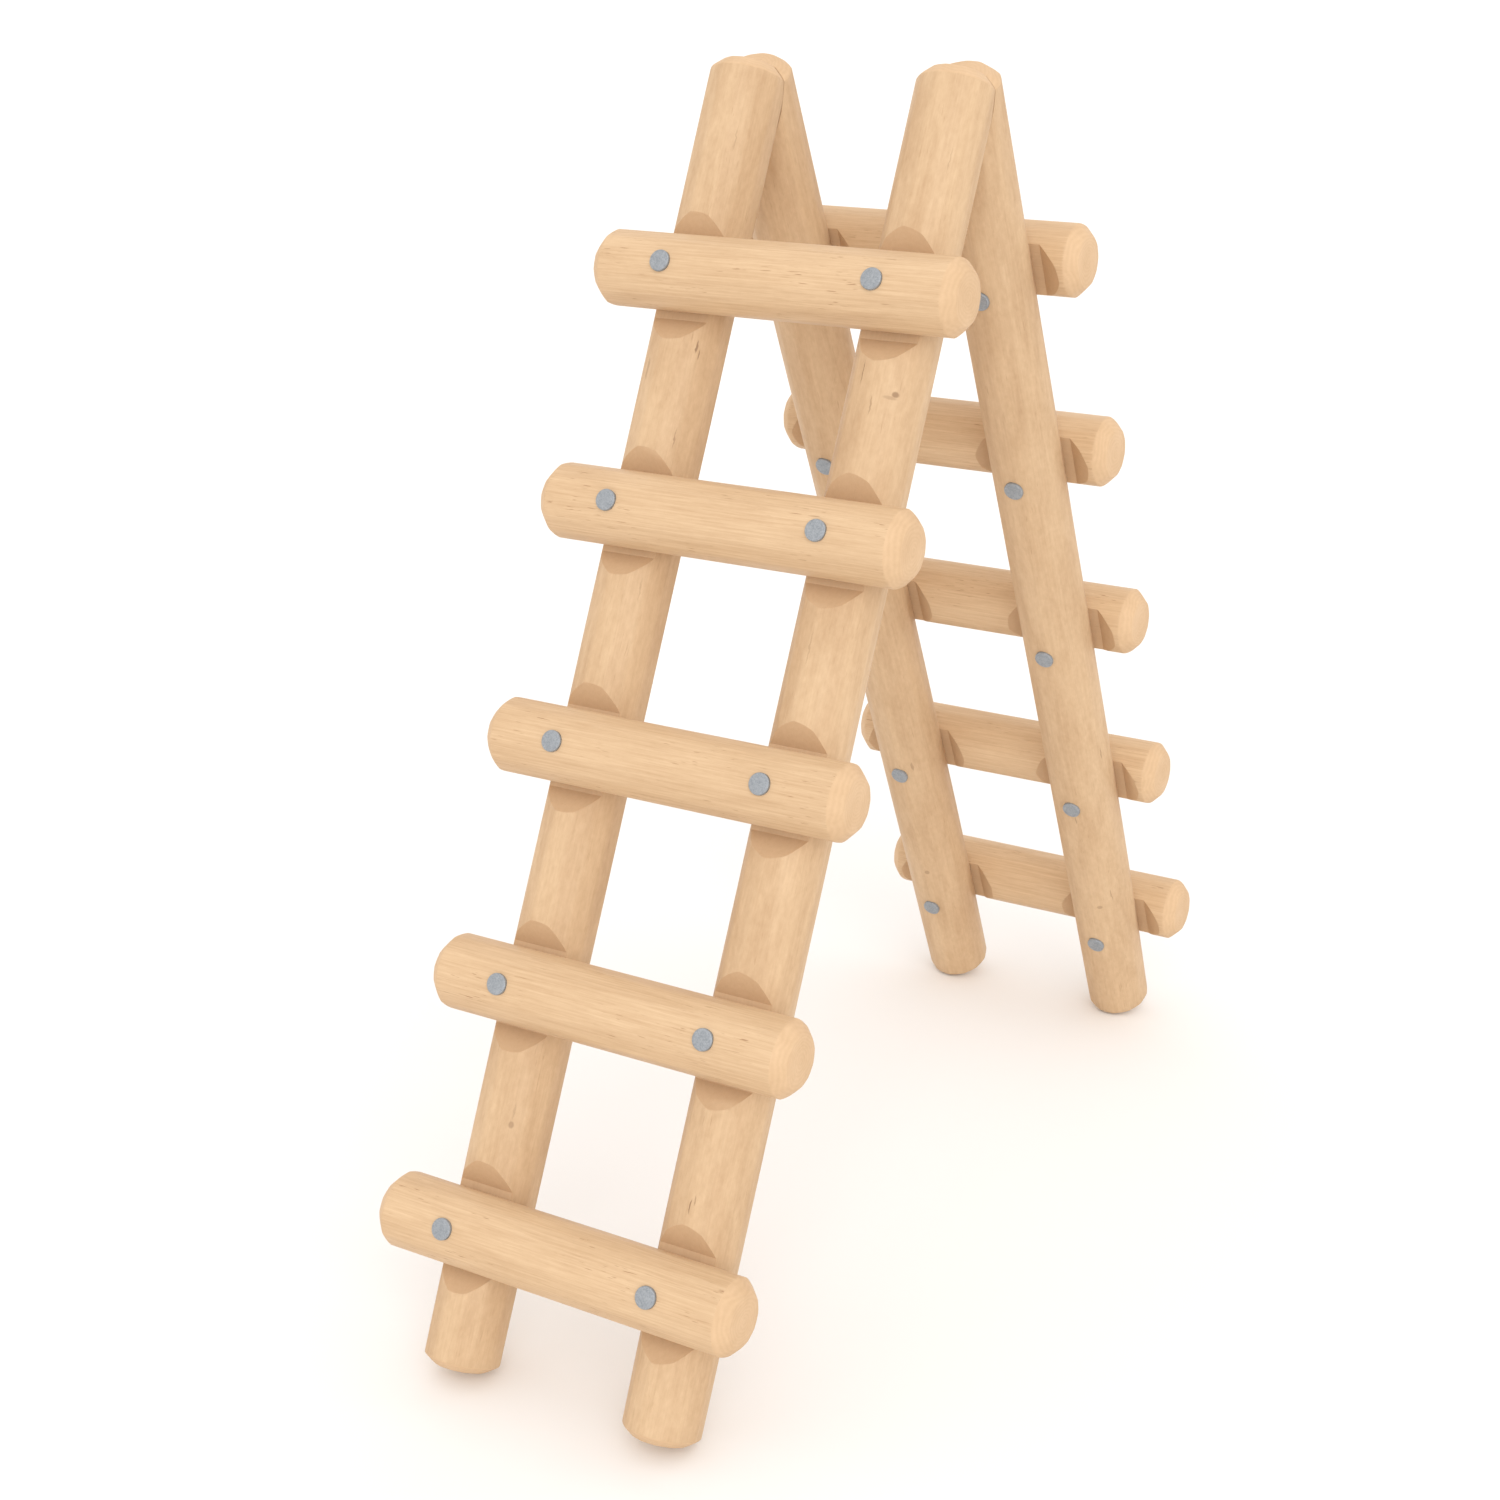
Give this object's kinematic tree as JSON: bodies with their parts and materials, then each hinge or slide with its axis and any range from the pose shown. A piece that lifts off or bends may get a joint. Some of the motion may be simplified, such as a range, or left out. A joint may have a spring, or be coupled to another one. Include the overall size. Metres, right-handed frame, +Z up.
{
  "type": "climbing frame",
  "caption": "Freestanding A-frame climbing ladder of round timber poles, with bolted lap-jointed rungs on two leaning sides.",
  "frame": {"origin": "on the ground, under the middle of the frame", "axes": "+X runs along the rungs, +Y from the front ladder to the rear ladder, +Z up"},
  "size_m": [0.602, 1.7804, 1.8443],
  "materials": {
    "leg_wood": "sanded and oiled pale softwood",
    "rung_wood": "sanded and oiled pale softwood",
    "zinc": "hot-dip galvanised",
    "dowel_wood": "plain hardwood"
  },
  "bodies": {
    "root": {"front_left_leg": "leg_wood", "front_right_leg": "leg_wood", "rear_left_leg": "leg_wood", "rear_right_leg": "leg_wood", "front_rung_1": "rung_wood", "front_rung_2": "rung_wood", "front_rung_3": "rung_wood", "front_rung_4": "rung_wood", "front_rung_5": "rung_wood", "rear_rung_1": "rung_wood", "rear_rung_2": "rung_wood", "rear_rung_3": "rung_wood", "rear_rung_4": "rung_wood", "rear_rung_5": "rung_wood", "front_left_bolts": "zinc", "front_left_sleeve_nuts": "zinc", "front_right_bolts": "zinc", "front_right_sleeve_nuts": "zinc", "rear_left_bolts": "zinc", "rear_left_sleeve_nuts": "zinc", "rear_right_bolts": "zinc", "rear_right_sleeve_nuts": "zinc", "left_mitre_dowels": "dowel_wood", "right_mitre_dowels": "dowel_wood"}
  },
  "joints": []
}
